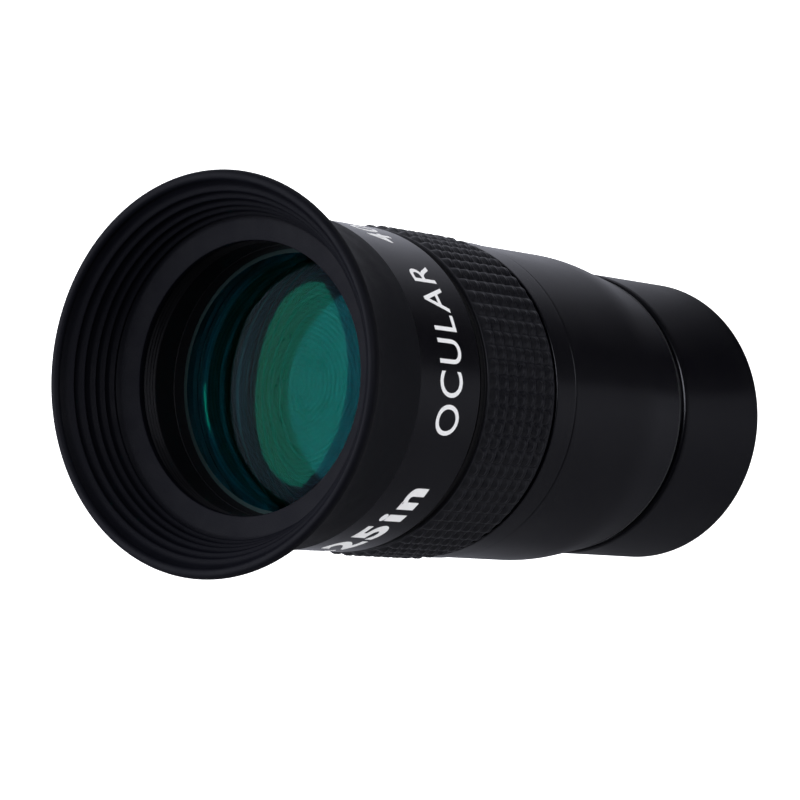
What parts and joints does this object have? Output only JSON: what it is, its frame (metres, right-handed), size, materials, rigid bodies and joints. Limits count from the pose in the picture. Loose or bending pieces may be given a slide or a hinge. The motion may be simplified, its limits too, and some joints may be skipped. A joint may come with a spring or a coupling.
{
  "type": "telescope eyepiece",
  "caption": "Long-focus telescope eyepiece with fold-down rubber eyecup, coated eye lens, rubber grip band and a threaded nosepiece barrel that fits a focuser.",
  "frame": {"origin": "centre of the barrel's end face, which the part stands on", "axes": "+Z along the optical axis from the field end towards the eye; +X and +Y are any two square directions, because the shape is turned about Z"},
  "size_m": [0.0408, 0.0408, 0.0819],
  "materials": {
    "barrel_metal": "satin black anodised",
    "housing_metal": "satin black anodised with white lettering on the cap ring",
    "blackened_metal": "matt blackened",
    "coated_glass": "polished, green multi-coating",
    "grip_rubber": "matt moulded rubber with small raised studs",
    "eyecup_rubber": "soft matt rubber"
  },
  "bodies": {
    "barrel": {"nosepiece_barrel": "barrel_metal", "field_stop": "blackened_metal", "field_stop_ring": "blackened_metal"},
    "housing": {"lower_housing": "housing_metal", "glare_baffle": "blackened_metal", "upper_housing": "housing_metal", "grip_band": "grip_rubber", "eye_cap_ring": "housing_metal", "lens_cell": "blackened_metal", "cell_lock_ring": "blackened_metal", "eye_retaining_ring": "blackened_metal", "doublet_spacer": "blackened_metal", "eye_flint_lens": "coated_glass", "eye_crown_lens": "coated_glass", "field_crown_lens": "coated_glass", "field_flint_lens": "coated_glass", "eyecup_sleeve": "eyecup_rubber"},
    "eyecup": {"eyecup_wall": "eyecup_rubber", "eyecup_lip": "eyecup_rubber"}
  },
  "joints": [
    {"name": "barrel_unscrew", "type": "slide", "parent": "barrel", "child": "housing", "axis": [0, 0, 1], "range_m": [0, 0.0052]},
    {"name": "eyecup_fold", "type": "slide", "parent": "housing", "child": "eyecup", "axis": [0, 0, -1], "range_m": [0, 0.0106], "deforming": ["eyecup_wall"]}
  ]
}
